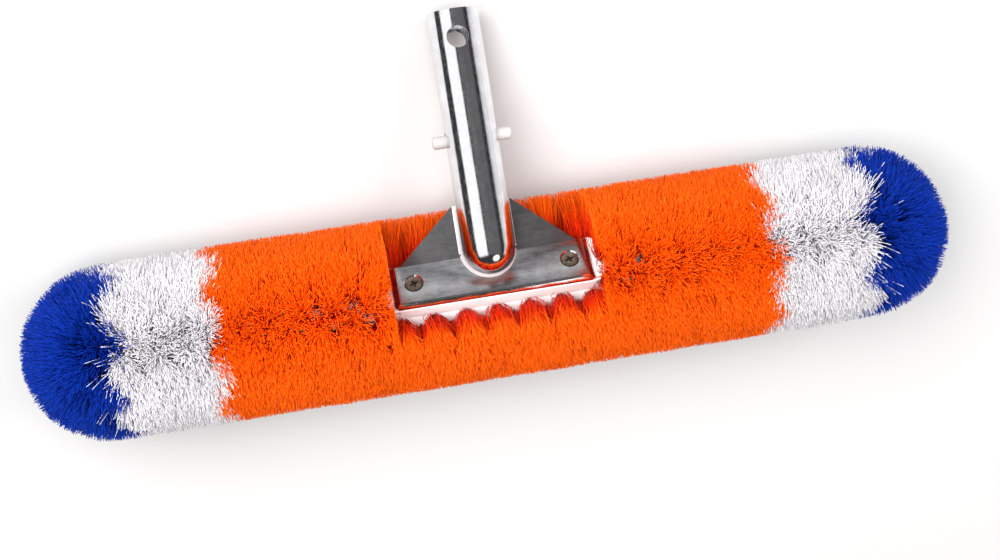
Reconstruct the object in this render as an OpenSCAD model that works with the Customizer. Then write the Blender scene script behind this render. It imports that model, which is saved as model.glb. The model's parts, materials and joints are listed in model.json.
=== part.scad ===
// Round-ended wall brush head for a pool pole: a moulded bar with bristle tufts
// all round it, and a cast socket handle that carries two snap buttons.
// Millimetres, +Z up, set down on its bristles and on the far end of the socket.

/* [Brush] */
// Length over the bristle tips, mm
brush_len = 457.2; // [330:1:620]
// Diameter over the bristle tips, mm
brush_d = 86; // [78:1:104]
// Diameter of the moulded bar, mm
bar_d = 30; // [28:0.5:36]

/* [Tufts] */
// Distance between tufts along one row, mm
tuft_pitch = 15.6; // [15:0.1:19]
// Diameter of a tuft where it leaves the bar, mm
tuft_d = 4.4; // [3.4:0.1:4.6]
// Gap between the tips of neighbouring tufts in a row, mm
tuft_gap = 1; // [0.8:0.1:5]
// Depth of a tuft hole in the bar, mm
hole_depth = 8; // [5:0.5:8.5]

/* [Handle] */
// Outside diameter of the socket tube, mm
tube_d = 25.4; // [22:0.1:28]
// Wall of the socket tube, mm
tube_wall = 2.5; // [2:0.1:3]
// From the brush axis to the open end of the tube, mm
tube_reach = 135; // [125:1:165]
// Height of the tube's round lower end over the base plate, mm
tube_stand = 10.2; // [9:0.1:14]
// How far the tube's lower end sits back from the middle of the plate, mm
tube_set_back = 6.7; // [5:0.1:8]
// Angle between the tube and the base plate, degrees
plate_tilt = 33; // [28:1:36]
// Length of the flat top of the base plate, mm
plate_len = 92; // [88:1:98]
// Width of the flat top of the base plate, mm
plate_w = 20.5; // [20:0.5:23]
// Thickness of the base plate, mm
plate_t = 3.5; // [3:0.1:4.5]
// Distance between the two screws, mm
screw_spacing = 76.2; // [68:0.1:80]

/* [Snap buttons] */
// Diameter of a snap button, mm
button_d = 6; // [5:0.1:7]
// How far a button stands out of the tube, mm
button_out = 6.4; // [5:0.1:7]
// From the open end of the tube to the button axis, mm
button_from_end = 61; // [58:0.5:66]
// Diameter of the cross hole near the open end, mm
cross_d = 10.6; // [8:0.1:12]
// From the open end of the tube to the cross hole axis, mm
cross_from_end = 13.4; // [10:0.1:16]

/* [Hidden] */
$fn = 0;
bar_r = bar_d / 2;
tube_r = tube_d / 2;
bore_r = tube_r - tube_wall;
tip_r = (tuft_pitch - tuft_gap) / 2;
root_r = tuft_d / 2;
hole_r = root_r + 0.05;
tuft_end = sqrt(pow(brush_d / 2, 2) - pow(tip_r, 2));   // height of a tuft's flat tip
end_x = brush_len / 2 - tuft_end;                       // centre of each round end
rows = 16;
row_step = 360 / rows;

// the pad the base plate sits on, and the plate's own outline
pad_top = bar_r - 0.5;
pad_len = plate_len + 12;
pad_w = plate_w + 5;
under_angle = 60;                       // rows within this of the plate's square stand under it
pad_clear = pad_len / 2 + hole_r;       // and keep their tufts this far from the middle
plate_top = pad_top + plate_t;
plate_edge = 3;                         // how far the bevel runs out at the ends
plate_foot = 2;                         // how far each long side runs out at its foot
side_round = 0.6;                       // chamfer along the top of each long side
plate_lip = 0.5;                        // upright edge under the bevel

// the tube's lower end and its distance off the brush axis, in the brush frame
dome_n = plate_top + tube_stand;
dome_v = tube_set_back * cos(plate_tilt) + dome_n * sin(plate_tilt);
tube_offset = dome_n * cos(plate_tilt) - tube_set_back * sin(plate_tilt);

// rest: the brush lies on its lowest row and the tube's rim touches the same floor
lean = tube_offset - tube_r;
guess = asin(tuft_end / norm([tube_reach, lean])) + atan(lean / tube_reach);
down = plate_tilt + guess;
low_row = abs(down - round(down / row_step) * row_step);            // off the nearest row
function reach_down(a) = tuft_end * cos(a) + tip_r * sin(a);        // a tuft that stands a degrees off
axis_h = max(reach_down(low_row), reach_down(row_step - low_row));
roll = asin(axis_h / norm([tube_reach, lean])) + atan(lean / tube_reach);
front_y = tube_reach * cos(roll) + (tube_offset + tube_r) * sin(roll);
shift_y = (axis_h - front_y) / 2;

// socket handle
bore_floor = dome_v + 3;
taper_r = tube_r + 0.2;                 // casting draft below the machined length
machined_v = tube_reach - button_from_end + 8;
button_v = tube_reach - button_from_end;
cross_v = tube_reach - cross_from_end;
wing_foot = plate_w / 2 * cos(plate_tilt) + plate_top * sin(plate_tilt);
wing_front = plate_top * cos(plate_tilt) - plate_w / 2 * sin(plate_tilt) + 0.1;
wing_t = 3;
wing_top = dome_v + 22.5;
wing_half = plate_len / 2 - 3;
web_r = tube_r - 0.1;                   // just inside the dome, so the two cross and don't graze
flare = 1.6;
toe_rim = 0.05;                         // upright edge of the flare over the plate

// spring clip: a pressed button swings on an arc, so its hole is wider and a little further out
button_play = 0.85;
button_rise = 0.6;
hinge_v = button_v - 36;
hinge_x = bore_r - 1.85;
knuckle_r = 0.9;
arm_w = 7;
arm_face = sqrt(pow(bore_r - 0.08, 2) - pow(arm_w / 2, 2));
arm_t = 1.6;
bend_w = 6;
bend_r = sqrt(pow(bore_r - 0.05, 2) - pow(bend_w / 2, 2));

// tuft stations: even rows have a tuft at x = 0, odd rows are half a pitch over
last = floor((end_x - 3) / (tuft_pitch / 2));           // last half-pitch station
rings = 6;                                              // white stations on each side
split = last - rings;                                   // last orange station

// ---- places ----------------------------------------------------------------
// brush frame: X along the bar, Y the way the tube points, Z square to the tube
module rest() translate([0, shift_y, axis_h]) rotate([-roll, 0, 0]) children();
// plate frame: X along the bar, Z square out of the base plate
module on_plate() rest() rotate([-plate_tilt, 0, 0]) children();
// tube frame: Z along the tube to its open end
module on_tube() rest() translate([0, 0, tube_offset]) rotate([-90, 0, 0]) children();

// row 7 stands square to the base plate
function row_angle(i) = (i - 7) * row_step;
// rows that would stand under the plate leave their middle stations out
function under_plate(i) = abs(row_angle(i)) < under_angle;
// station j is at j half pitches; a row uses the stations of its own parity
function has_station(i, j) =
  (abs(j) + i) % 2 == 0 && !(under_plate(i) && abs(j) * tuft_pitch / 2 < pad_clear);

// ---- tufts -----------------------------------------------------------------
module tuft(depth, r, end) {
  foot = bar_r - depth + 0.05;
  rotate_extrude()
    polygon([[0, foot], [r, foot], [r, bar_r + 0.5], [tip_r, end], [0, end]]);
}

module tuft_hole(depth, r) translate([0, 0, bar_r - depth]) cylinder(r = r, h = depth + 3);

module row_places(i, from, to)
  for (j = [-last : last])
    if (abs(j) >= from && abs(j) <= to && has_station(i, j))
      translate([j * tuft_pitch / 2, 0, 0]) children();

module orange_row(i)
  color([1, 0.42, 0.05]) on_plate() rotate([-row_angle(i), 0, 0])
    row_places(i, 0, split) tuft(hole_depth, root_r, tuft_end);

module ring_places(side, j)
  for (i = [0 : rows - 1])
    if (has_station(i, j)) rotate([-row_angle(i), 0, 0])
      translate([side * j * tuft_pitch / 2, 0, 0]) children();

module white_ring(side, k)
  color([0.95, 0.95, 0.93]) on_plate()
    ring_places(side, split + k) tuft(hole_depth, root_r, tuft_end);

// round ends: rings of tufts at four latitudes, and one tuft at the pole
lats = [8, 26, 46, 67];
counts = [8, 8, 8, 4];
module end_places(side, k) {
  step = 360 / counts[k];
  // the first ring stands between the last station's tufts, and each ring between those of the one before
  turn = row_angle((last + 1 + k) % 2);
  for (i = [0 : counts[k] - 1])
    translate([side * end_x, 0, 0]) rotate([-turn - i * step, 0, 0])
      rotate([0, side * lats[k], 0]) children();
  if (k == 3) translate([side * end_x, 0, 0]) rotate([0, side * 90, 0]) children();
}

module blue_ring(side, k)
  color([0.05, 0.2, 0.7]) on_plate()
    end_places(side, k - 1) tuft(hole_depth - 3.5, root_r - 0.25, tuft_end);

// ---- moulded bar -----------------------------------------------------------
module rounded(l, w, r) {
  square([l - 2 * r, w], center = true);
  square([l, w - 2 * r], center = true);
  for (x = [-1, 1], y = [-1, 1]) translate([x * (l / 2 - r), y * (w / 2 - r)]) circle(r = r);
}

module brush_bar() color([0.93, 0.93, 0.9]) on_plate() difference() {
  union() {
    translate([-end_x, 0, 0]) rotate([0, 90, 0]) cylinder(r = bar_r, h = 2 * end_x);
    for (s = [-1, 1]) translate([s * end_x, 0, 0]) sphere(r = bar_r);
    linear_extrude(height = pad_top) rounded(pad_len, pad_w, 3);
  }
  // the pad's top is flat right across the bar
  translate([-pad_len / 2, -pad_w / 2, pad_top]) cube([pad_len, pad_w, bar_r]);
  for (i = [0 : rows - 1]) rotate([-row_angle(i), 0, 0])
    row_places(i, 0, last) tuft_hole(hole_depth, hole_r);
  for (s = [-1, 1], k = [0 : 3]) end_places(s, k) tuft_hole(hole_depth - 3.5, hole_r - 0.25);
  for (s = [-1, 1]) translate([s * screw_spacing / 2, 0, pad_top - 11.5])
    cylinder(r = 1.9, h = 12);
}

// ---- cast socket handle ----------------------------------------------------
module base_plate() difference() {
  translate([0, 0, pad_top])
    linear_extrude(height = plate_t)
      rounded(plate_len + 2 * plate_edge, plate_w + 2 * plate_foot, 2.5);
  for (s = [-1, 1]) {
    rise = plate_t - plate_lip;
    translate([s * (plate_len / 2), 0, plate_top]) rotate([0, s * atan(rise / plate_edge), 0])
      translate([s * 10, 0, 10]) cube([30, 60, 20], center = true);
    translate([0, s * (plate_w / 2), plate_top]) rotate([-s * 45, 0, 0])
      translate([0, s * 10, 10]) cube([140, 30, 20], center = true);
    translate([0, s * (plate_w / 2 + side_round), plate_top - side_round])
      rotate([-s * atan((rise - side_round) / (plate_foot - side_round)), 0, 0])
        translate([0, s * 10, 10]) cube([140, 30, 20], center = true);
  }
}

// flat gusset behind the tube, in the tube's own direction
module wings() translate([0, 0, wing_front - wing_t]) linear_extrude(height = wing_t)
  polygon([[-wing_half, wing_foot - 1.6], [wing_half, wing_foot - 1.6], [wing_half, wing_foot + 0.2],
           [tube_r + flare, wing_top], [-tube_r - flare, wing_top], [-wing_half, wing_foot + 0.2]]);

// web between the tube and the gusset, flared where it meets it
module web() {
  translate([0, 0, wing_front - 1]) linear_extrude(height = tube_offset - wing_front + 1) {
    translate([0, dome_v]) circle(r = web_r);
    translate([-web_r, dome_v]) square([2 * web_r, wing_top - dome_v]);
  }
  for (s = [-1, 1]) translate([0, wing_top, wing_front]) rotate([90, 0, 0])
    linear_extrude(height = wing_top - dome_v + 0.9) difference() {
      translate([s > 0 ? tube_r - 0.6 : -tube_r - flare, -0.6])
        square([flare + 0.6, flare + 0.6]);
      translate([s * (tube_r + flare), flare]) circle(r = flare);
    }
}

// the flare goes on round the tube's lower end, on the sloping plate
module toe_slice(r, n, t) intersection() {
  translate([0, dome_v, 0]) cylinder(r = r, h = 30, $fn = 48);
  rotate([-plate_tilt, 0, 0]) translate([-20, -20, n]) cube([40, 40, t]);
  translate([-20, -5, 0]) cube([40, dome_v + 4.3, 40]);
}
module toe_flare() hull() {
  toe_slice(tube_r + flare - 0.2, plate_top - 0.6, 0.6 + toe_rim);
  toe_slice(tube_r - 0.3, plate_top + flare, 0.1);
}

module socket_solid() {
  on_plate() base_plate();
  rest() wings();
  rest() web();
  rest() toe_flare();
  on_tube() translate([0, 0, dome_v]) sphere(r = tube_r);
  on_tube() translate([0, 0, dome_v]) cylinder(r1 = taper_r, r2 = tube_r, h = machined_v - dome_v);
  on_tube() translate([0, 0, machined_v]) cylinder(r = tube_r, h = tube_reach - machined_v);
}

module socket_handle() color([0.75, 0.76, 0.78]) difference() {
  socket_solid();
  on_plate() translate([-70, -40, pad_top - 30]) cube([140, 80, 30]);
  on_tube() translate([0, 0, bore_floor]) cylinder(r = bore_r, h = tube_reach);
  // cross hole, and the two button holes
  rest() translate([0, cross_v, 0]) cylinder(r = cross_d / 2, h = 60);
  rest() translate([-30, button_v + button_rise, tube_offset]) rotate([0, 90, 0])
    cylinder(r = button_d / 2 + button_play, h = 60);
  // screw holes, countersunk
  on_plate() for (s = [-1, 1]) translate([s * screw_spacing / 2, 0, pad_top - 1]) {
    cylinder(r = 2.3, h = 8);
    translate([0, 0, plate_t - 1.9]) cylinder(r1 = 2.3, r2 = 4.9, h = 3);
  }
}

// ---- countersunk screws ----------------------------------------------------
screw_top = plate_top - 0.45;
module screw() difference() {
  rotate_extrude() polygon([
    [0, screw_top - 14.4], [1.85, screw_top - 12.4], [1.85, screw_top - 2.4],
    [3.95, screw_top - 0.35], [3.95, screw_top], [0, screw_top]]);
  for (a = [0, 90]) rotate([0, 0, a + 22]) translate([-2, -0.4, screw_top - 1.5])
    cube([4, 0.8, 3]);
  translate([0, 0, screw_top - 1.9]) cylinder(r1 = 0.3, r2 = 1.1, h = 2);
}
module handle_screws() color([0.5, 0.47, 0.43]) on_plate()
  for (s = [-1, 1]) translate([s * screw_spacing / 2, 0, 0]) screw();

// ---- spring clip -----------------------------------------------------------
module clip_bend() color([0.95, 0.95, 0.92]) on_tube() difference() {
  translate([0, bend_w / 2, hinge_v]) rotate([90, 0, 0]) linear_extrude(height = bend_w)
    difference() {
      union() {
        intersection() {
          circle(r = bend_r);
          translate([-20, -40]) square([40, 40]);
        }
        translate([-bend_r, -0.01]) square([2 * bend_r, 0.51]);
      }
      circle(r = bend_r - 3);
      translate([-bend_r + 3, -1]) square([2 * bend_r - 6, 3]);
      for (s = [-1, 1]) translate([s * hinge_x, 0]) circle(r = knuckle_r + 0.1);
    }
}

module snap_button(s) color([0.95, 0.95, 0.92]) on_tube() {
  translate([s * hinge_x, 0, hinge_v]) rotate([90, 0, 0])
    cylinder(r = knuckle_r, h = bend_w, center = true);
  translate([s * hinge_x - 0.55, -bend_w / 2, hinge_v]) cube([1.1, bend_w, 2.5]);
  translate([s > 0 ? arm_face - arm_t : -arm_face, -arm_w / 2, hinge_v + 1.6])
    cube([arm_t, arm_w, 39.5]);
  translate([s * (arm_face - 0.8), 0, button_v]) rotate([0, s * 90, 0]) {
    cylinder(r = button_d / 2, h = tube_r + button_out - arm_face);
    translate([0, 0, tube_r + button_out - arm_face])
      cylinder(r1 = button_d / 2, r2 = button_d / 2 - 0.8, h = 0.8);
  }
}

// ---- output ----------------------------------------------------------------
brush_bar();
socket_handle();
handle_screws();
clip_bend();
snap_button(-1);  // snap_button_left
snap_button(1);  // snap_button_right
orange_row(0);  // orange_row_01
orange_row(1);  // orange_row_02
orange_row(2);  // orange_row_03
orange_row(3);  // orange_row_04
orange_row(4);  // orange_row_05
orange_row(5);  // orange_row_06
orange_row(6);  // orange_row_07
orange_row(7);  // orange_row_08
orange_row(8);  // orange_row_09
orange_row(9);  // orange_row_10
orange_row(10);  // orange_row_11
orange_row(11);  // orange_row_12
orange_row(12);  // orange_row_13
orange_row(13);  // orange_row_14
orange_row(14);  // orange_row_15
orange_row(15);  // orange_row_16
white_ring(-1, 1);  // white_ring_left_1
white_ring(-1, 2);  // white_ring_left_2
white_ring(-1, 3);  // white_ring_left_3
white_ring(-1, 4);  // white_ring_left_4
white_ring(-1, 5);  // white_ring_left_5
white_ring(-1, 6);  // white_ring_left_6
white_ring(1, 1);  // white_ring_right_1
white_ring(1, 2);  // white_ring_right_2
white_ring(1, 3);  // white_ring_right_3
white_ring(1, 4);  // white_ring_right_4
white_ring(1, 5);  // white_ring_right_5
white_ring(1, 6);  // white_ring_right_6
blue_ring(-1, 1);  // blue_ring_left_1
blue_ring(-1, 2);  // blue_ring_left_2
blue_ring(-1, 3);  // blue_ring_left_3
blue_ring(-1, 4);  // blue_ring_left_4
blue_ring(1, 1);  // blue_ring_right_1
blue_ring(1, 2);  // blue_ring_right_2
blue_ring(1, 3);  // blue_ring_right_3
blue_ring(1, 4);  // blue_ring_right_4
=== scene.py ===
import json
import math

import bpy
import numpy as np
from bpy.props import FloatProperty, FloatVectorProperty, IntProperty, PointerProperty
from bpy.types import Operator, Panel, PropertyGroup
from mathutils import Matrix, Vector


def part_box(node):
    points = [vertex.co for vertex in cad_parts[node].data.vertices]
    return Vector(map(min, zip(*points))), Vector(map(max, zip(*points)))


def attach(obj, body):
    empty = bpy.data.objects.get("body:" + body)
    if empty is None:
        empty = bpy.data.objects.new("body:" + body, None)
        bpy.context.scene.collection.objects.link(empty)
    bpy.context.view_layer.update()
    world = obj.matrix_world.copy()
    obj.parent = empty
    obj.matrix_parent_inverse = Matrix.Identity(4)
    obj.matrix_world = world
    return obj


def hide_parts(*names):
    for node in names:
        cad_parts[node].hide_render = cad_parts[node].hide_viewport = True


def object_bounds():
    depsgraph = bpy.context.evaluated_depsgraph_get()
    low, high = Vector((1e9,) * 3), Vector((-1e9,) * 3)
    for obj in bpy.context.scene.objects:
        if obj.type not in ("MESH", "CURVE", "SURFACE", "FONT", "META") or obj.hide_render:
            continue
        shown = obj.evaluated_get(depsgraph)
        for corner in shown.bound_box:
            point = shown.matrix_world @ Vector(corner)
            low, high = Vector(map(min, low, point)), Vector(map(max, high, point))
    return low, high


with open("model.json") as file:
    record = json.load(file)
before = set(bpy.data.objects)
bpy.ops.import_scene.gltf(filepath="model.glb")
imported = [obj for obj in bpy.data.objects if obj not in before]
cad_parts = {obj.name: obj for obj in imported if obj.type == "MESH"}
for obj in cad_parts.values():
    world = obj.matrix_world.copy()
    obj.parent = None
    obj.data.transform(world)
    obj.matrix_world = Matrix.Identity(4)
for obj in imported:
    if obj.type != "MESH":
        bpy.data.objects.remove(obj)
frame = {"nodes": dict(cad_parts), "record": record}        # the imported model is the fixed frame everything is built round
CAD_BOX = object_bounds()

bl_info = {
    "name": "Pool wall brush head",
    "version": (1, 0, 0),
    "blender": (4, 5, 0),
    "location": "3D View > Sidebar > Brush",
    "description": "Bristles, cast handle and studio for a round-ended pool wall brush",
    "category": "Object",
}

BODY = "brush_and_handle"
NODES = frame["nodes"]
MOUNTS = {m["name"]: m for m in frame["record"]["mounts"]}
X = Vector((1, 0, 0))
ALONG_TUBE = Vector(MOUNTS["pole_socket"]["axis"]).normalized()   # to the tube's open end
TUBE_FRONT = Vector(MOUNTS["cross_hole"]["axis"]).normalized()    # square to the tube, away from the bar
TUBE_POINT = Vector(MOUNTS["pole_socket"]["pos_m"])
BAR_LO, BAR_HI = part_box("brush_bar")

# the handle, in metres
BAR_RADIUS = 0.015
PLATE_TILT = math.radians(33)     # between the tube and the base plate
PLATE_HALF = 0.0495               # half the base plate's length at its foot
DOME = 0.021                      # from the bar's axis to the middle of the tube's round foot
TUBE_SKIN = (0.0124, 0.0130)      # distances from the tube's axis that count as its own surface
FLARE_RADIUS = 0.0156             # outside of the flare round the tube's foot
FLARE_TOP = 0.0235                # how far up the tube the flare runs, from the foot's middle
FLARE_BACK = 0.0005               # how far behind the tube's axis it begins
TUBE_RINGS = (0.0068, 0.0200, 0.038, 0.0550, 0.0660, 0.078, 0.0895)   # from the open end, clear of the holes
FLAT = 0.995                      # least cosine between a flat face and the way it should face
GUSSET_AREA = 2e-6                # a gusset's faces are larger than this, m2
EASE_SEGMENTS = 2
SHARP = math.radians(35)          # edges sharper than this are eased

# one bristle, from its foot at 0 to its tip at 1
RING = 0.4                        # how far up its ring is
TIP_TAPER = 0.8                   # its width at the tip over its width at the ring
FOOT_DEPTH = 0.007                # how far its foot is down in its hole
FANNED = (0.08, 0.30)             # how far it has fanned out at its ring: least, and up to this much more

# a tuft
RIM_DEPTH = 0.0006                # how far below a tuft's highest point its rim may be
TUFT_STRAY = 0.0009               # how far its tips stray together
UNEVEN = 0.0006                   # how much tufts differ in height
TRIM_REACH = (0.03, 0.05)         # a bristle is cut between these distances up its tuft
HALVINGS = 14                     # steps that find where
LEAN_FROM, LEAN_OVER = 0.115, 0.02       # from the bar's middle to the first that lean, and on to a full lean
SPIKES_FROM, SPIKE_LENGTH = 0.16, 0.006  # white tufts from here on have long bristles, by about this
END_LEAN_STOPS = 0.6              # a tuft on a round end that points this far along the bar no longer leans
BESIDE_PLATE = 0.02               # how far past the plate's ends a tuft counts as beside it
BESIDE_SHIFT = 0.0042             # how far those fill in the bare bar beside the pad
FACES_OUT, FACES_PLATE = 0.7, 0.1        # least cosines to the plate's normal, beside the plate and round it


# ---- settings ---------------------------------------------------------------

def length(name, description, default):
    return FloatProperty(name=name, description=description, default=default, unit="LENGTH")


def angle(name, description, degrees):
    return FloatProperty(name=name, description=description, default=math.radians(degrees), subtype="ANGLE")


def factor(name, description, default):
    return FloatProperty(name=name, description=description, default=default, subtype="FACTOR")


def colour(name, description, default):
    return FloatVectorProperty(name=name, description=description, subtype="COLOR", size=3, default=default)


class BristleSettings(PropertyGroup):
    strands: IntProperty(name="Bristles per tuft", description="Bristles standing in one tuft hole",
                         default=430, min=20)
    end_strands: FloatProperty(name="End bristles", default=1.35,
                               description="Bristles in a tuft on a round end, as a multiple of the rest")
    thickness: length("Bristle thickness", "Thickness of one bristle", 0.00040)
    bar_radius: length("Bar radius", "Radius of the moulded bar", BAR_RADIUS)
    trim_radius: length("Trim radius", "Radius the bristles are trimmed to", 0.0428)
    hole_radius: length("Tuft radius", "Radius of a tuft at its foot", 0.0017)
    spread: length("Spread", "Radius of a tuft's tips, round the bar", 0.0125)
    squeeze: factor("Squeeze", "A tuft's spread along the bar, as a share of its spread round it", 0.62)
    end_spread: length("End spread", "Radius of a tuft's tips on the round ends", 0.0098)
    ragged: length("Raggedness", "How unevenly the tips are trimmed", 0.0019)
    end_ragged: length("End raggedness", "How unevenly the tips on the round ends are trimmed", 0.0044)
    stray: length("Stray", "How far a bristle's tip strays from its place in the tuft", 0.0028)
    lean: length("Lean", "How far the tufts by the colour joints lean to the middle", 0.0035)
    end_lean: length("End lean", "How far the first ring on a round end leans back", 0.0080)
    gusset_room: length("Gusset room", "How far the row behind the plate may fan towards the gussets", 0.0085)
    spikes: factor("Spikes", "Share of white bristles that stick out over the ends", 0.14)
    bend: length("Bend", "How far a bristle bows from straight", 0.0020)


class ColourSettings(PropertyGroup):
    # painted shade and light: each deep colour is darker than its tip colour as painted shade deep in the
    # tufts, and each tip colour is lighter as painted light
    orange_root: colour("Orange, deep", "Orange bristle near the bar", (0.83, 0.026, 0.0008))
    orange_tip: colour("Orange, tips", "Orange bristle at its tip", (1.0, 0.128, 0.0015))
    white_root: colour("White, deep", "White bristle near the bar", (0.66, 0.62, 0.68))
    white_tip: colour("White, tips", "White bristle at its tip", (0.80, 0.775, 0.80))
    blue_root: colour("Blue, deep", "Blue bristle near the bar", (0.0005, 0.0009, 0.030))
    blue_tip: colour("Blue, tips", "Blue bristle at its tip", (0.0020, 0.030, 0.34))
    bar: colour("Bar", "Moulded bar", (0.88, 0.86, 0.85))
    clip: colour("Clip", "Snap buttons and their spring", (0.50, 0.48, 0.475))
    cast: colour("Casting", "Cast handle metal", (0.72, 0.72, 0.74))
    screw: colour("Screws", "Screw plating", (0.30, 0.25, 0.20))
    floor: colour("Floor", "Studio floor", (0.56, 0.555, 0.55))


class StudioSettings(PropertyGroup):
    distance: length("Camera distance", "From the camera to the bar", 0.902)
    lens: FloatProperty(name="Lens", description="Focal length, mm", default=66.4)
    yaw: angle("Yaw", "Camera's turn towards the left end", 4.9)
    pitch: angle("Pitch", "Camera's drop below square to the tube", -0.66)
    roll: angle("Roll", "Camera's roll about its view", -9.03)
    aim_x: length("Aim sideways", "Camera's shift to its right", 0.0036)
    aim_y: length("Aim up", "Camera's shift to its top", 0.0053)
    key: FloatProperty(name="Key light", description="Power of the key light, watts", default=34.0)
    fill: FloatProperty(name="Fill light", description="Power of the fill light, watts", default=14.0)


def settings():
    s = bpy.context.scene
    return s.brush_bristles, s.brush_colours, s.brush_studio


# ---- small helpers ----------------------------------------------------------

def bar_line():
    """The bar's axis, as its y and z, and how far along x its round ends start."""
    r = settings()[0].bar_radius
    return BAR_LO.y + r, BAR_LO.z + r, BAR_HI.x - r


def times(rgb, k):
    """A colour made lighter or darker, with no channel over 1."""
    return tuple(min(1, x * k) for x in rgb)


def deselect():
    if bpy.context.object and bpy.context.object.mode != "OBJECT":
        bpy.ops.object.mode_set(mode="OBJECT")
    for o in bpy.context.selected_objects:
        o.select_set(False)


def only(obj):
    deselect()
    obj.select_set(True)
    bpy.context.view_layer.objects.active = obj


def settle(obj):
    """Put a finished piece's place into its mesh."""
    only(obj)
    bpy.ops.object.transform_apply(location=True, rotation=True, scale=True)


def dress(obj, body, slot, *nodes):
    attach(obj, body)
    if nodes:
        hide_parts(*nodes)


# ---- node building ----------------------------------------------------------

class Tree:
    """Short calls for building a node tree."""

    def __init__(self, tree):
        self.t = tree

    def add(self, kind, **values):
        n = self.t.nodes.new(kind)
        for k, v in values.items():
            setattr(n, k, v)
        return n

    def put(self, socket, value):
        if isinstance(value, bpy.types.NodeSocket):
            self.t.links.new(value, socket)
        else:
            socket.default_value = value

    def math(self, op, a, b=0.0):
        n = self.add("ShaderNodeMath", operation=op)
        for s, v in zip(n.inputs, (a, b)):
            self.put(s, v)
        return n.outputs[0]

    def dot(self, vec, with_vec):
        n = self.add("ShaderNodeVectorMath", operation="DOT_PRODUCT")
        self.put(n.inputs[0], vec)
        n.inputs[1].default_value = with_vec
        return n.outputs["Value"]

    def noise(self, vec, scale, detail=3.0, rough=0.5):
        n = self.add("ShaderNodeTexNoise")
        self.put(n.inputs["Vector"], vec)
        n.inputs["Scale"].default_value = scale
        n.inputs["Detail"].default_value = detail
        n.inputs["Roughness"].default_value = rough
        return n.outputs["Fac"]

    def ramp(self, fac, stops):
        n = self.add("ShaderNodeValToRGB")
        el = n.color_ramp.elements
        while len(el) > 1:
            el.remove(el[-1])
        el[0].position = stops[0][0]
        el[0].color = (*stops[0][1], 1)
        for p, c in stops[1:]:
            e = el.new(p)
            e.color = (*c, 1)
        self.put(n.inputs[0], fac)
        return n.outputs["Color"]

    def span(self, value, a, b, c=0.0, d=1.0, smooth=True):
        n = self.add("ShaderNodeMapRange", interpolation_type="SMOOTHSTEP" if smooth else "LINEAR")
        for i, v in enumerate((value, a, b, c, d)):
            self.put(n.inputs[i], v)
        return n.outputs[0]

    def mix(self, fac, a, b, blend="MIX"):
        n = self.add("ShaderNodeMix", data_type="RGBA", blend_type=blend)
        self.put(n.inputs[0], fac)
        self.put(n.inputs[6], a if isinstance(a, bpy.types.NodeSocket) else (*a, 1))
        self.put(n.inputs[7], b if isinstance(b, bpy.types.NodeSocket) else (*b, 1))
        return n.outputs[2]

    def bump(self, height, strength, distance, normal=None):
        n = self.add("ShaderNodeBump")
        n.inputs["Strength"].default_value = strength
        n.inputs["Distance"].default_value = distance
        self.put(n.inputs["Height"], height)
        if normal:
            self.put(n.inputs["Normal"], normal)
        return n.outputs["Normal"]


def group(name, inputs, outputs):
    """A new shader node group with its sockets, and its input and output nodes."""
    g = bpy.data.node_groups.new(name, "ShaderNodeTree")
    for n, kind, default in inputs:
        s = g.interface.new_socket(name=n, in_out="INPUT", socket_type=kind)
        if default is not None:
            s.default_value = default
    for n, kind in outputs:
        g.interface.new_socket(name=n, in_out="OUTPUT", socket_type=kind)
    return g, Tree(g), g.nodes.new("NodeGroupInput"), g.nodes.new("NodeGroupOutput")


def sanding_group():
    """Fine lines of a sanded or buffed face, running along Direction."""
    name = "sanding lines"
    if name in bpy.data.node_groups:
        return bpy.data.node_groups[name]
    g, t, gi, go = group(name, [("Vector", "NodeSocketVector", None), ("Fineness", "NodeSocketFloat", 1.0)],
                         [("Lines", "NodeSocketFloat"), ("Patches", "NodeSocketFloat")])
    n = t.add("ShaderNodeVectorMath", operation="MULTIPLY")
    t.put(n.inputs[0], gi.outputs["Vector"])
    n.inputs[1].default_value = (0.12, 1.0, 1.0)
    m = t.add("ShaderNodeVectorMath", operation="SCALE")
    t.put(m.inputs[0], n.outputs[0])
    t.put(m.inputs["Scale"], gi.outputs["Fineness"])
    fine = t.noise(m.outputs[0], 2600, 4, 0.7)
    coarse = t.noise(m.outputs[0], 700, 3, 0.6)
    lines = t.math("ADD", t.math("MULTIPLY", fine, 0.6), t.math("MULTIPLY", coarse, 0.4))
    t.put(go.inputs["Lines"], lines)
    t.put(go.inputs["Patches"], t.span(t.noise(gi.outputs["Vector"], 120, 4, 0.6), 0.35, 0.7))
    return g


def speckle_group():
    """Slow tone change and fine grain of a moulded or drawn plastic."""
    name = "plastic grain"
    if name in bpy.data.node_groups:
        return bpy.data.node_groups[name]
    g, t, gi, go = group(name, [("Vector", "NodeSocketVector", None), ("Size", "NodeSocketFloat", 1.0)],
                         [("Tone", "NodeSocketFloat"), ("Grain", "NodeSocketFloat")])
    m = t.add("ShaderNodeVectorMath", operation="SCALE")
    t.put(m.inputs[0], gi.outputs["Vector"])
    t.put(m.inputs["Scale"], gi.outputs["Size"])
    t.put(go.inputs["Tone"], t.noise(m.outputs[0], 60, 3, 0.55))
    t.put(go.inputs["Grain"], t.noise(m.outputs[0], 1800, 2, 0.5))
    return g


def use(tree, grp, **inputs):
    n = tree.add("ShaderNodeGroup")
    n.node_tree = grp
    for k, v in inputs.items():
        tree.put(n.inputs[k], v)
    return n


def material(name):
    m = bpy.data.materials.new(name)
    m.use_nodes = True
    t = Tree(m.node_tree)
    bsdf = m.node_tree.nodes["Principled BSDF"]
    return m, t, bsdf


def object_coords(t):
    return t.add("ShaderNodeTexCoord").outputs["Object"]


# ---- materials --------------------------------------------------------------

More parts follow.
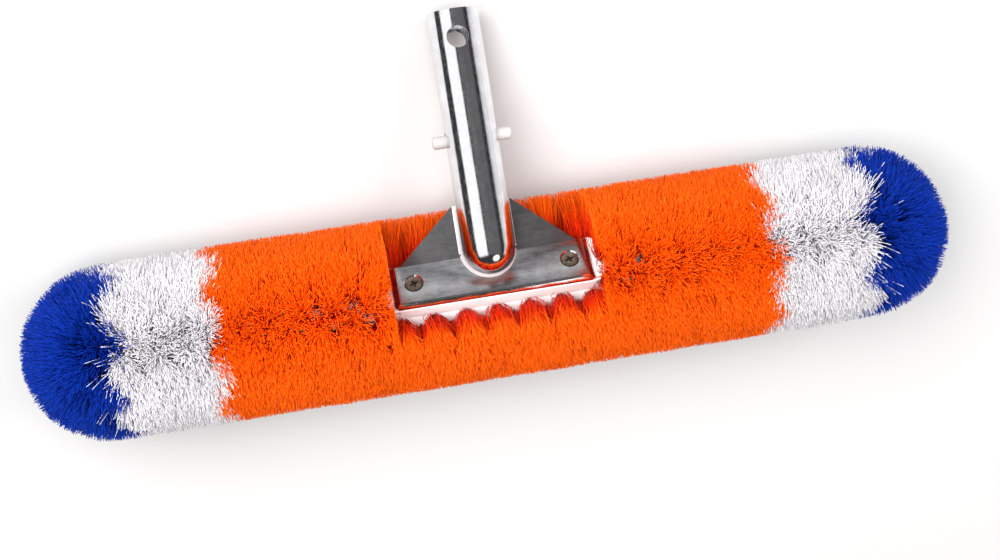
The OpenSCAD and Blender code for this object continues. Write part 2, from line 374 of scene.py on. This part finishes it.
def bristle_material(name, root, tip, gloss, shine):
    """Thin plastic, darker towards the bar as painted shade deep in the tufts and paler at the cut tip as
    painted light, each bristle a little off.
    """
    m, t, bsdf = material(name)
    along = t.add("ShaderNodeAttribute", attribute_name="along").outputs["Fac"]
    tone = t.add("ShaderNodeAttribute", attribute_name="tone").outputs["Fac"]
    grain = use(t, speckle_group(), Vector=object_coords(t), Size=1.0)
    # painted shade and painted light: the bristle darkens towards its root, where shade falls deep in the
    # tuft, and lightens at its lit tip
    base = t.mix(t.span(along, 0.45, 1.0), tuple(root), tuple(tip))
    shade = t.math("ADD", t.math("MULTIPLY", tone, 0.34), t.math("MULTIPLY", grain.outputs["Tone"], 0.3))
    shade = t.span(shade, 0.1, 0.5, 0.62, 1.12, smooth=False)
    t.put(bsdf.inputs["Base Color"], t.mix(1.0, base, shade, "MULTIPLY"))
    t.put(bsdf.inputs["Roughness"], t.span(grain.outputs["Grain"], 0.3, 0.7, gloss - 0.06, gloss + 0.08))
    bsdf.inputs["Specular IOR Level"].default_value = shine
    return m


def plastic_material(name, rgb, dark, size, rough, bump):
    """Moulded plastic with a fine grain and a slow change of tone, down to the colour times dark."""
    m, t, bsdf = material(name)
    grain = use(t, speckle_group(), Vector=object_coords(t), Size=size)
    tone = t.span(grain.outputs["Tone"], 0.3, 0.7)
    t.put(bsdf.inputs["Base Color"], t.mix(tone, times(rgb, dark), tuple(rgb)))
    t.put(bsdf.inputs["Roughness"], t.span(grain.outputs["Grain"], 0.3, 0.7, *rough))
    t.put(bsdf.inputs["Normal"], t.bump(grain.outputs["Grain"], bump, 0.0001))
    return m, bsdf


def bar_material():
    return plastic_material("bar moulded plastic", settings()[1].bar, 0.93, 1.0, (0.38, 0.52), 0.25)[0]


def clip_material():
    """The clip's plastic lets a little light in."""
    m, bsdf = plastic_material("clip natural plastic", settings()[1].clip, 0.9, 1.4, (0.28, 0.42), 0.2)
    bsdf.inputs["Subsurface Weight"].default_value = 0.35
    bsdf.inputs["Subsurface Radius"].default_value = (1, 1, 0.9)
    bsdf.inputs["Subsurface Scale"].default_value = 0.002
    return m


def tube_coords(t, co):
    """Coordinates with X along the bar, Y along the tube and Z out of its front."""
    n = t.add("ShaderNodeVectorMath", operation="SUBTRACT")
    t.put(n.inputs[0], co)
    n.inputs[1].default_value = TUBE_POINT
    c = t.add("ShaderNodeCombineXYZ")
    for s, v in zip(c.inputs, (X, ALONG_TUBE, TUBE_FRONT)):
        t.put(s, t.dot(n.outputs[0], v))
    return c.outputs[0]


def polished_material():
    """The buffed tube: near mirror, with the soft ripples of hand buffing, faint lines and a few pits."""
    _, c, _ = settings()
    m, t, bsdf = material("casting, polished tube")
    local = tube_coords(t, object_coords(t))
    lines = use(t, sanding_group(), Vector=local, Fineness=0.8)
    ripple = t.noise(local, 55, 2, 0.4)
    pits = t.span(t.noise(local, 900, 2, 0.6), 0.30, 0.24)
    base = t.mix(t.span(lines.outputs["Patches"], 0, 1), tuple(c.cast), times(c.cast, 1.14))
    base = t.mix(t.math("MULTIPLY", pits, 0.45), base, times(c.cast, 0.45))
    t.put(bsdf.inputs["Base Color"], base)
    bsdf.inputs["Metallic"].default_value = 1.0
    haze = t.span(t.noise(local, 620, 4, 0.75), 0.44, 0.62)
    streaks = t.span(lines.outputs["Lines"], 0.35, 0.7, 0.05, 0.10)
    t.put(bsdf.inputs["Roughness"], t.math("ADD", streaks, t.math("MULTIPLY", haze, 0.14)))
    n = t.bump(ripple, 0.08, 0.0012)
    t.put(bsdf.inputs["Normal"], t.bump(lines.outputs["Lines"], 0.05, 0.00004, n))
    return m


def sanded_material(name, dim, rough, fine=1.0, metal=1.0):
    """Flat faces of the casting, sanded but not buffed; with less metal and a low dim, the near-black
    gussets, a painted dark reflection.
    """
    _, c, _ = settings()
    m, t, bsdf = material(name)
    co = object_coords(t)
    lines = use(t, sanding_group(), Vector=tube_coords(t, co), Fineness=fine)
    blotch = t.noise(co, 240, 5, 0.65)
    grey = times(c.cast, dim)
    base = t.mix(t.span(blotch, 0.35, 0.68), times(grey, 0.7), grey)
    scratch = t.math("MULTIPLY", t.span(lines.outputs["Lines"], 0.42, 0.62), 0.5)
    t.put(bsdf.inputs["Base Color"], t.mix(scratch, base, times(grey, 1.35)))
    bsdf.inputs["Metallic"].default_value = metal
    t.put(bsdf.inputs["Roughness"], t.span(lines.outputs["Lines"], 0.3, 0.7, *rough))
    n = t.bump(blotch, 0.25, 0.00025)
    t.put(bsdf.inputs["Normal"], t.bump(lines.outputs["Lines"], 0.35, 0.00006, n))
    return m


def satin_and_highlight_material():
    """The flare round the tube's foot: buffed less than the tube, and lightened to near white as a painted
    highlight, so it reads bright and soft.
    """
    _, c, _ = settings()
    m, t, bsdf = material("casting, satin flare with painted highlight")
    lines = use(t, sanding_group(), Vector=tube_coords(t, object_coords(t)), Fineness=1.2)
    bright = t.span(lines.outputs["Lines"], 0.35, 0.65)
    # painted highlight: the flare's colour is lightened to near white to stand for the bright reflection
    # round the tube's foot
    t.put(bsdf.inputs["Base Color"], t.mix(bright, times(c.cast, 1.2), (0.97, 0.96, 0.95)))
    bsdf.inputs["Metallic"].default_value = 0.5
    t.put(bsdf.inputs["Roughness"], t.span(lines.outputs["Lines"], 0.3, 0.7, 0.3, 0.45))
    t.put(bsdf.inputs["Normal"], t.bump(lines.outputs["Lines"], 0.15, 0.00006))
    return m


def screw_material():
    _, c, _ = settings()
    m, t, bsdf = material("screw dull plating")
    co = object_coords(t)
    lines = use(t, sanding_group(), Vector=co, Fineness=1.6)
    grime = t.noise(co, 700, 3, 0.6)
    t.put(bsdf.inputs["Base Color"], t.mix(t.span(grime, 0.35, 0.65), times(c.screw, 0.55), tuple(c.screw)))
    bsdf.inputs["Metallic"].default_value = 1.0
    t.put(bsdf.inputs["Roughness"], t.span(lines.outputs["Lines"], 0.3, 0.7, 0.32, 0.55))
    t.put(bsdf.inputs["Normal"], t.bump(grime, 0.3, 0.0001))
    return m


# ---- bristles ---------------------------------------------------------------

def one_bristle():
    """One closed, three-sided bristle of unit size: pointed at its foot, with a ring where it fans out."""
    deselect()
    bpy.ops.mesh.primitive_cone_add(vertices=3, radius1=0.0, radius2=1.0, depth=RING,
                                    location=(0, 0, RING / 2), end_fill_type="NGON")
    obj = bpy.context.object
    bpy.ops.object.mode_set(mode="EDIT")
    bpy.ops.mesh.select_all(action="DESELECT")
    bpy.ops.object.mode_set(mode="OBJECT")
    for p in obj.data.polygons:
        p.select = p.normal.z > 0.9             # the cap
    bpy.ops.object.mode_set(mode="EDIT")
    bpy.ops.mesh.extrude_region_move(TRANSFORM_OT_translate={"value": (0, 0, 1 - RING)})
    bpy.ops.transform.resize(value=(TIP_TAPER, TIP_TAPER, 1.0))
    bpy.ops.object.mode_set(mode="OBJECT")
    settle(obj)
    me = obj.data
    co = np.empty(len(me.vertices) * 3)
    me.vertices.foreach_get("co", co)
    faces = [tuple(p.vertices) for p in me.polygons]
    bpy.data.objects.remove(obj)
    return co.reshape(-1, 3), faces


def tuft_directions(node):
    """Where each of a node's tufts stands: the point on the bar's axis under it, and its direction."""
    me = NODES[node].data
    co = np.empty(len(me.vertices) * 3)
    me.vertices.foreach_get("co", co)
    co = co.reshape(-1, 3)
    _, first, same = np.unique(np.round(co, 6), axis=0, return_index=True, return_inverse=True)
    same = same.ravel()
    edges = np.empty(len(me.edges) * 2, int)
    me.edges.foreach_get("vertices", edges)
    edges = same[edges.reshape(-1, 2)]
    label = np.arange(len(first))
    while True:
        low = label.copy()
        np.minimum.at(low, edges[:, 0], label[edges[:, 1]])
        np.minimum.at(low, edges[:, 1], label[edges[:, 0]])
        low = low[low]
        if (low == label).all():
            break
        label = low
    points = co[first]
    y, z, end = bar_line()
    out = []
    for part in np.unique(label):
        p = points[label == part]
        foot = np.array([np.clip(p[:, 0].mean(), -end, end), y, z])
        height = np.linalg.norm(p - foot, axis=1)
        rim = p[height > height.max() - RIM_DEPTH].mean(axis=0)
        foot[0] = math.copysign(end, rim[0]) if node.startswith("blue") else rim[0]
        d = rim - foot
        out.append((foot, d / np.linalg.norm(d)))
    return sorted(out, key=lambda q: (round(q[0][0], 4), round(q[1][1], 4), round(q[1][2], 4)))


def place_tips(node, foot, d, side, run, tips, rng):
    """Move a tuft's tips, given along the bar and round it, for the joints, the round ends and the handle."""
    b, n = settings()[0], len(tips)
    plate_up = np.array(plate_normal())
    from_middle = abs(foot[0])
    outward = math.copysign(1, foot[0]) * math.copysign(1, run[0])
    tips[:, 0] -= outward * b.lean * min(max((from_middle - LEAN_FROM) / LEAN_OVER, 0), 1)
    if node.startswith("white"):                             # a few stick out over the round end
        out_by = np.abs(rng.normal(0, SPIKE_LENGTH, n)) * (rng.random(n) < b.spikes)
        tips[:, 0] += outward * out_by * (from_middle > SPIKES_FROM)
    elif node.startswith("blue"):
        tips[:, 0] -= outward * (b.end_lean * max(1 - abs(d[0]) / END_LEAN_STOPS, 0) - b.lean)
    lift = float(np.dot(d, plate_up))
    if lift > FACES_OUT and PLATE_HALF < from_middle < PLATE_HALF + BESIDE_PLATE:
        room = from_middle - PLATE_HALF                      # beside the plate: none crosses its end
        toward = -outward
        tips[:, 0] += toward * BESIDE_SHIFT
        inside = room * toward * rng.random(n) ** 0.3
        tips[:, 0] = np.where(tips[:, 0] * toward > room, inside, tips[:, 0])
    if from_middle < PLATE_HALF and lift > FACES_PLATE:
        up = math.copysign(1, float(np.dot(side, plate_up)))
        if float(np.dot(d, ALONG_TUBE)) < 0:                 # in front of the plate: hanging away from it
            tips[:, 1] = np.where(tips[:, 1] * up > 0, tips[:, 1] * 0.5, tips[:, 1])
        else:                                                # behind it: kept off the gussets
            over = tips[:, 1] * up > b.gusset_room
            tips[:, 1] = np.where(over, up * b.gusset_room * rng.random(n), tips[:, 1])


def trimmed_height(foot, d, side, run, tips, trim):
    """How far up its tuft each bristle meets the trimmed outline."""
    y, z, end = bar_line()
    n = len(tips)
    lo, hi = (np.full(n, reach) for reach in TRIM_REACH)
    for _ in range(HALVINGS):
        mid = (lo + hi) / 2
        tip = foot + d * mid[:, None] + run * tips[:, :1] + side * tips[:, 1:]
        axis = np.stack([np.clip(tip[:, 0], -end, end), np.full(n, y), np.full(n, z)], 1)
        out = np.linalg.norm(tip - axis, axis=1) > trim
        hi, lo = np.where(out, mid, hi), np.where(out, lo, mid)
    return (lo + hi) / 2


def tuft(node, foot, d, spread, squeeze, n, rng):
    """The points of a tuft's n bristles, and a tone for each bristle."""
    b = settings()[0]
    shape = BRISTLE[0]
    ragged = b.end_ragged if node.startswith("blue") else b.ragged
    side = np.cross(d, [1, 0, 0]) if abs(d[0]) < 0.9 else np.cross(d, [0, 1, 0])
    side /= np.linalg.norm(side)
    run = np.cross(side, d)                        # along the bar on the straight rows
    r = np.sqrt(rng.random(n))
    a = rng.random(n) * 2 * np.pi
    feet = np.stack([r * np.cos(a), r * np.sin(a)], 1)
    swell = spread * (0.9 + 0.2 * rng.random())
    tips = feet * swell * (0.8 + 0.4 * rng.random((n, 1)))
    tips = tips + rng.normal(0, b.stray, (n, 2)) + rng.normal(0, TUFT_STRAY, (1, 2))
    tips[:, 0] *= squeeze
    place_tips(node, foot, d, side, run, tips, rng)
    feet = feet * b.hole_radius
    bow = rng.normal(0, b.bend, (n, 2))
    trim = b.trim_radius + UNEVEN - ragged * np.abs(rng.normal(0, 1, n)) - UNEVEN * rng.random()
    top = trimmed_height(foot, d, side, run, tips, trim)
    start = b.bar_radius - FOOT_DEPTH
    turn = rng.random(n) * 2 * np.pi
    thick = b.thickness / 2 * (0.85 + 0.3 * rng.random(n))
    tone = rng.random(n)
    up = shape[:, 2][None, :]                      # 0 at the foot, 1 at the tip
    t = start + (top[:, None] - start) * up
    early = (FANNED[0] + FANNED[1] * rng.random(n) ** 2)[:, None]
    f = np.where(up >= 1, 1.0, np.where(up > 0, early, 0.0))
    off = feet[:, None, :] * (1 - f)[..., None] + tips[:, None, :] * f[..., None]
    off = off + bow[:, None, :] * ((up > 0) & (up < 1))[..., None]
    c, s = np.cos(turn)[:, None], np.sin(turn)[:, None]
    u = off[..., 0] + (shape[:, 0] * c - shape[:, 1] * s) * thick[:, None]
    w = off[..., 1] + (shape[:, 0] * s + shape[:, 1] * c) * thick[:, None]
    co = foot + d * t[..., None] + run * u[..., None] + side * w[..., None]
    return co.reshape(-1, 3), tone


def copies_mesh(name, co, tones, mat):
    """One mesh of many bristles, from the points of them all."""
    shape, faces = BRISTLE
    size = len(shape)
    count = len(co) // size
    loops = np.array([v for f in faces for v in f])
    starts = np.cumsum([0] + [len(f) for f in faces])[:-1]
    nth = np.arange(count)[:, None]
    all_starts = (starts[None, :] + nth * len(loops)).ravel()
    all_loops = (loops[None, :] + nth * size).ravel()
    me = bpy.data.meshes.new(name)
    me.vertices.add(len(co))
    me.vertices.foreach_set("co", co.ravel())
    me.loops.add(len(all_loops))
    me.loops.foreach_set("vertex_index", all_loops.astype(np.int32))
    me.polygons.add(len(all_starts))
    me.polygons.foreach_set("loop_start", all_starts.astype(np.int32))
    me.polygons.foreach_set("use_smooth", np.ones(len(all_starts), bool))
    me.update(calc_edges=True)
    for key, values in (("along", np.tile(shape[:, 2], count)), ("tone", np.repeat(tones, size))):
        me.attributes.new(key, "FLOAT", "POINT").data.foreach_set("value", values.astype(np.float32))
    me.materials.append(mat)
    obj = bpy.data.objects.new(name, me)
    bpy.context.collection.objects.link(obj)
    return obj


def plate_normal():
    """Out of the base plate, from the screw heads' side: the plate leans back from the tube's front."""
    return ALONG_TUBE * math.sin(PLATE_TILT) + TUBE_FRONT * math.cos(PLATE_TILT)


def bristles(colour, slot, root, tip, spread, squeeze, strands, gloss, shine):
    """Every bristle of each node of one colour, as one mesh a node."""
    mat = bristle_material(f"{colour} bristle", root, tip, gloss, shine)
    for k, node in enumerate(sorted(n for n in NODES if n.startswith(colour))):
        rng = np.random.default_rng(100 * len(colour) + k)
        made = [tuft(node, foot, d, spread, squeeze, strands, rng) for foot, d in tuft_directions(node)]
        co, tones = (np.concatenate(part) for part in zip(*made))
        dress(copies_mesh(f"{node}_bristles", co, tones, mat), BODY, slot, node)


# ---- hard pieces ------------------------------------------------------------

def finished_copy(node, name, ease, cuts=()):
    """A node's own shape, its sharp edges eased as tumbling leaves them, with rings cut across the tube."""
    me = NODES[node].data.copy()
    me.materials.clear()
    obj = bpy.data.objects.new(name, me)
    bpy.context.collection.objects.link(obj)
    only(obj)
    bpy.ops.object.mode_set(mode="EDIT")
    bpy.ops.mesh.select_all(action="SELECT")
    bpy.ops.mesh.remove_doubles(threshold=1e-6)
    bpy.ops.mesh.dissolve_limited(angle_limit=math.radians(0.4))
    for co in cuts:
        bpy.ops.mesh.select_all(action="SELECT")
        bpy.ops.mesh.bisect(plane_co=co, plane_no=ALONG_TUBE)
    bpy.ops.object.mode_set(mode="OBJECT")
    m = obj.modifiers.new("eased edges", "BEVEL")
    m.width, m.segments, m.limit_method, m.angle_limit = ease, EASE_SEGMENTS, "ANGLE", SHARP
    m.harden_normals = False
    m.use_clamp_overlap = True
    bpy.ops.object.modifier_apply(modifier=m.name)
    bpy.ops.object.shade_smooth_by_angle(angle=SHARP)
    return obj


def round_normals(obj, bar):
    """Shade the tube and its round foot by their true radius, so that reflections run straight along them."""
    me = obj.data
    middle = Vector((0, *bar)) + ALONG_TUBE * DOME
    centre = TUBE_POINT + ALONG_TUBE * (middle - TUBE_POINT).dot(ALONG_TUBE)
    normals = [Vector((0, 0, 0))] * len(me.loops)
    for p in me.polygons:
        if p.material_index:
            continue
        found = []
        for i in p.loop_indices:
            c = me.vertices[me.loops[i].vertex_index].co - centre
            v = c.dot(ALONG_TUBE)
            out = c - ALONG_TUBE * max(0.0, v)
            found.append(out if TUBE_SKIN[0] < out.length < TUBE_SKIN[1] else None)
        if all(found) and p.normal.dot(sum(found, Vector()).normalized()) > 0.9:
            for i, out in zip(p.loop_indices, found):
                normals[i] = out.normalized()
    me.normals_split_custom_set([tuple(n) for n in normals])


class BRUSH_OT_bar(Operator):
    """Give the moulded bar its plastic"""
    bl_idname = "brush.bar"
    bl_label = "Moulded bar"

    def execute(self, context):
        node = NODES["brush_bar"]
        node.data.materials.clear()
        node.data.materials.append(bar_material())
        return {"FINISHED"}


class BRUSH_OT_orange(Operator):
    """Grow the orange bristles on their rows"""
    bl_idname = "brush.orange_bristles"
    bl_label = "Orange bristles"

    def execute(self, context):
        b, c, _ = settings()
        bristles("orange", "orange_bristle", c.orange_root, c.orange_tip, b.spread, b.squeeze, b.strands,
                 gloss=0.45, shine=0.2)
        return {"FINISHED"}


class BRUSH_OT_white(Operator):
    """Grow the white bristle rings"""
    bl_idname = "brush.white_bristles"
    bl_label = "White bristles"

    def execute(self, context):
        b, c, _ = settings()
        bristles("white", "white_bristle", c.white_root, c.white_tip, b.spread, b.squeeze, b.strands,
                 gloss=0.5, shine=0.3)
        return {"FINISHED"}


class BRUSH_OT_blue(Operator):
    """Grow the blue bristles on the round ends"""
    bl_idname = "brush.blue_bristles"
    bl_label = "Blue bristles"

    def execute(self, context):
        b, c, _ = settings()
        bristles("blue", "blue_bristle", c.blue_root, c.blue_tip, b.end_spread, 1.0,
                 int(b.strands * b.end_strands), gloss=0.45, shine=0.16)
        return {"FINISHED"}


class BRUSH_OT_handle(Operator):
    """Finish the cast socket handle: buffed tube, sanded plate and gussets"""
    bl_idname = "brush.handle"
    bl_label = "Cast handle"

    def execute(self, context):
        open_end = TUBE_POINT + ALONG_TUBE * MOUNTS["pole_socket"]["dims"]["length_mm"] / 2000
        obj = finished_copy("socket_handle", "cast_handle", ease=0.00035,
                            cuts=[open_end - ALONG_TUBE * far for far in TUBE_RINGS])
        bar = BAR_LO.y + BAR_RADIUS, BAR_LO.z + BAR_RADIUS
        tube, plate, gusset, flare = range(4)
        for m in (polished_material(),
                  sanded_material("casting, sanded plate", 0.62, rough=(0.22, 0.4)),
                  # the gussets' low dim paints them near black: a painted dark reflection of the dark room in
                  # front, on the same cast metal as the plate
                  sanded_material("casting, gussets", 0.098, rough=(0.30, 0.45), fine=0.7, metal=0.35),
                  satin_and_highlight_material()):
            obj.data.materials.append(m)
        up, seen = plate_normal(), set()
        for p in obj.data.polygons:
            c = Vector(p.center)
            behind = (TUBE_POINT - c).dot(TUBE_FRONT)
            v = (c - Vector((0, *bar))).dot(ALONG_TUBE) - DOME      # up the tube from its foot's middle
            ring = math.hypot(c.x, min(0.0, v))
            if p.normal.dot(up) > FLAT:
                p.material_index = plate
            elif abs(p.normal.dot(TUBE_FRONT)) > FLAT and p.area > GUSSET_AREA:
                p.material_index = gusset
            # the flare round the tube's foot, which gets the painted highlight
            elif behind > FLARE_BACK and v < FLARE_TOP and TUBE_SKIN[0] < ring < FLARE_RADIUS:
                p.material_index = flare
            else:
                p.material_index = tube
            seen.add(p.material_index)
        round_normals(obj, bar)
        if plate not in seen or gusset not in seen:
            raise RuntimeError("the casting has no flat plate or gusset faces to sand")
        dress(obj, BODY, "polished_casting", "socket_handle")
        return {"FINISHED"}


class BRUSH_OT_screws(Operator):
    """Finish the two countersunk screws"""
    bl_idname = "brush.screws"
    bl_label = "Screws"

    def execute(self, context):
        obj = finished_copy("handle_screws", "countersunk_screws", ease=0.00012)
        obj.data.materials.append(screw_material())
        dress(obj, BODY, "screw_steel", "handle_screws")
        return {"FINISHED"}


class BRUSH_OT_clip(Operator):
    """Finish the spring clip and its two snap buttons"""
    bl_idname = "brush.clip"
    bl_label = "Snap buttons and clip"

    def execute(self, context):
        mat = clip_material()
        for node, body in (("clip_bend", BODY), ("snap_button_left", "button_arm_left"),
                           ("snap_button_right", "button_arm_right")):
            obj = finished_copy(node, node + "_moulded", ease=0.00025)
            obj.data.materials.append(mat)
            dress(obj, body, "clip_plastic", node)
        return {"FINISHED"}


# ---- studio -----------------------------------------------------------------

def floor_piece():
    _, c, _ = settings()
    deselect()
    bpy.ops.mesh.primitive_plane_add(size=8, location=(0, 0, 0))
    floor = bpy.context.object
    floor.name = "studio_floor"
    bpy.ops.object.mode_set(mode="EDIT")
    bpy.ops.mesh.subdivide(number_cuts=3)
    bpy.ops.object.mode_set(mode="OBJECT")
    m, t, bsdf = material("studio floor")
    soft = t.noise(object_coords(t), 1.6, 2, 0.5)
    t.put(bsdf.inputs["Base Color"], t.mix(t.span(soft, 0.3, 0.7), times(c.floor, 0.985), tuple(c.floor)))
    bsdf.inputs["Roughness"].default_value = 0.75
    floor.data.materials.append(m)


def studio_world():
    """A white room with dark flags round the camera, so that the polished tube reads as metal."""
    w = bpy.data.worlds.new("studio")
    bpy.context.scene.world = w
    w.use_nodes = True
    t = Tree(w.node_tree)
    bg = w.node_tree.nodes["Background"]
    way = t.add("ShaderNodeTexCoord").outputs["Generated"]
    turn = t.math("ARCTAN2", t.dot(way, X), t.dot(way, TUBE_FRONT))
    part = t.span(turn, -math.pi, math.pi, smooth=False)
    white, grey = (1.35, 1.35, 1.35), (0.72, 0.71, 0.72)
    dim, dark = (0.15, 0.145, 0.145), (0.045, 0.045, 0.05)
    # what the tube shows, by degrees round it from its front
    round_tube = ((-180, white), (-95, white), (-92, dark), (-62, dark), (-58, white),
                  (-16, white), (-12, dark), (-4, dim), (42, dim), (50, dark), (62, dark),
                  (67, grey), (100, white), (180, white))
    sides = t.ramp(part, [((deg + 180) / 360, rgb) for deg, rgb in round_tube])
    along = t.dot(way, ALONG_TUBE)
    sky = t.mix(t.span(along, 0.5, 0.9), sides, (0.55, 0.55, 0.56))
    sky = t.mix(t.span(along, -0.45, -0.62), sky, dark)
    lamp = -ALONG_TUBE * 0.755 + (TUBE_FRONT * 0.875 + X * 0.485) * 0.656      # seen in the tube's round foot
    edge, core = math.cos(math.radians(15)), math.cos(math.radians(11))
    sky = t.mix(t.span(t.dot(way, lamp.normalized()), edge, core), sky, (1.8, 1.8, 1.8))
    t.put(bg.inputs["Color"], sky)
    bg.inputs["Strength"].default_value = 1.0


def soft_light(name, direction, distance, size, power):
    deselect()
    bpy.ops.object.light_add(type="AREA")
    o = bpy.context.object
    o.name = name
    o.data.shape = "RECTANGLE"
    o.data.size, o.data.size_y = size
    o.data.energy = power
    mid = (CAD_BOX[0] + CAD_BOX[1]) / 2
    o.location = mid + direction.normalized() * distance
    o.visible_glossy = False          # the polished tube shows the room, not the lamps
    o.rotation_euler = direction.to_track_quat("Z", "Y").to_euler()


class BRUSH_OT_studio(Operator):
    """Lay the floor, set the lights and place the camera"""
    bl_idname = "brush.studio"
    bl_label = "Studio"

    def execute(self, context):
        _, _, s = settings()
        context.scene.view_settings.view_transform = "Standard"
        floor_piece()
        studio_world()
        soft_light("key_light", TUBE_FRONT - X * 0.35 + ALONG_TUBE * 0.05, distance=1.3, size=(1.3, 1.3),
                   power=s.key)
        soft_light("fill_light", TUBE_FRONT * 0.8 + X * 0.8 - ALONG_TUBE * 0.1, distance=1.4, size=(1.0, 1.0),
                   power=s.fill)
        base = Matrix((X, ALONG_TUBE, TUBE_FRONT)).transposed()
        turn = (Matrix.Rotation(-s.yaw, 3, "Y") @ Matrix.Rotation(s.pitch, 3, "X")
                @ Matrix.Rotation(s.roll, 3, "Z"))
        pose = base @ turn
        middle = Vector((0, *bar_line()[:2]))
        spot = middle + pose.col[2] * s.distance + pose.col[0] * s.aim_x + pose.col[1] * s.aim_y
        deselect()
        bpy.ops.object.camera_add(location=spot, rotation=pose.to_euler())
        cam = bpy.context.object
        cam.data.lens = s.lens
        cam.data.sensor_width = 36
        cam.data.clip_start = 0.02
        context.scene.camera = cam
        return {"FINISHED"}


class BRUSH_PT_panel(Panel):
    """Brush head tools"""
    bl_idname = "BRUSH_PT_panel"
    bl_label = "Pool wall brush"
    bl_space_type = "VIEW_3D"
    bl_region_type = "UI"
    bl_category = "Brush"

    def draw(self, context):
        for group_name in ("brush_bristles", "brush_colours", "brush_studio"):
            box = self.layout.box()
            data = getattr(context.scene, group_name)
            for key in data.__annotations__:
                box.prop(data, key)
        for op in OPERATORS:
            self.layout.operator(op.bl_idname)


SETTINGS = (("brush_bristles", BristleSettings), ("brush_colours", ColourSettings),
            ("brush_studio", StudioSettings))
OPERATORS = (BRUSH_OT_bar, BRUSH_OT_orange, BRUSH_OT_white, BRUSH_OT_blue, BRUSH_OT_handle,
             BRUSH_OT_screws, BRUSH_OT_clip, BRUSH_OT_studio)
BRISTLE = None                # points and faces of one bristle, made once


def register():
    for _, c in SETTINGS:
        bpy.utils.register_class(c)
    for c in (*OPERATORS, BRUSH_PT_panel):
        bpy.utils.register_class(c)
    for name, c in SETTINGS:
        setattr(bpy.types.Scene, name, PointerProperty(type=c))


def unregister():
    for name, _ in SETTINGS:
        delattr(bpy.types.Scene, name)
    for c in (BRUSH_PT_panel, *reversed(OPERATORS)):
        bpy.utils.unregister_class(c)
    for _, c in reversed(SETTINGS):
        bpy.utils.unregister_class(c)


def main():
    global BRISTLE
    register()
    BRISTLE = one_bristle()
    for op in OPERATORS:
        space, name = op.bl_idname.split(".")
        getattr(getattr(bpy.ops, space), name)()


if __name__ == "__main__":
    main()
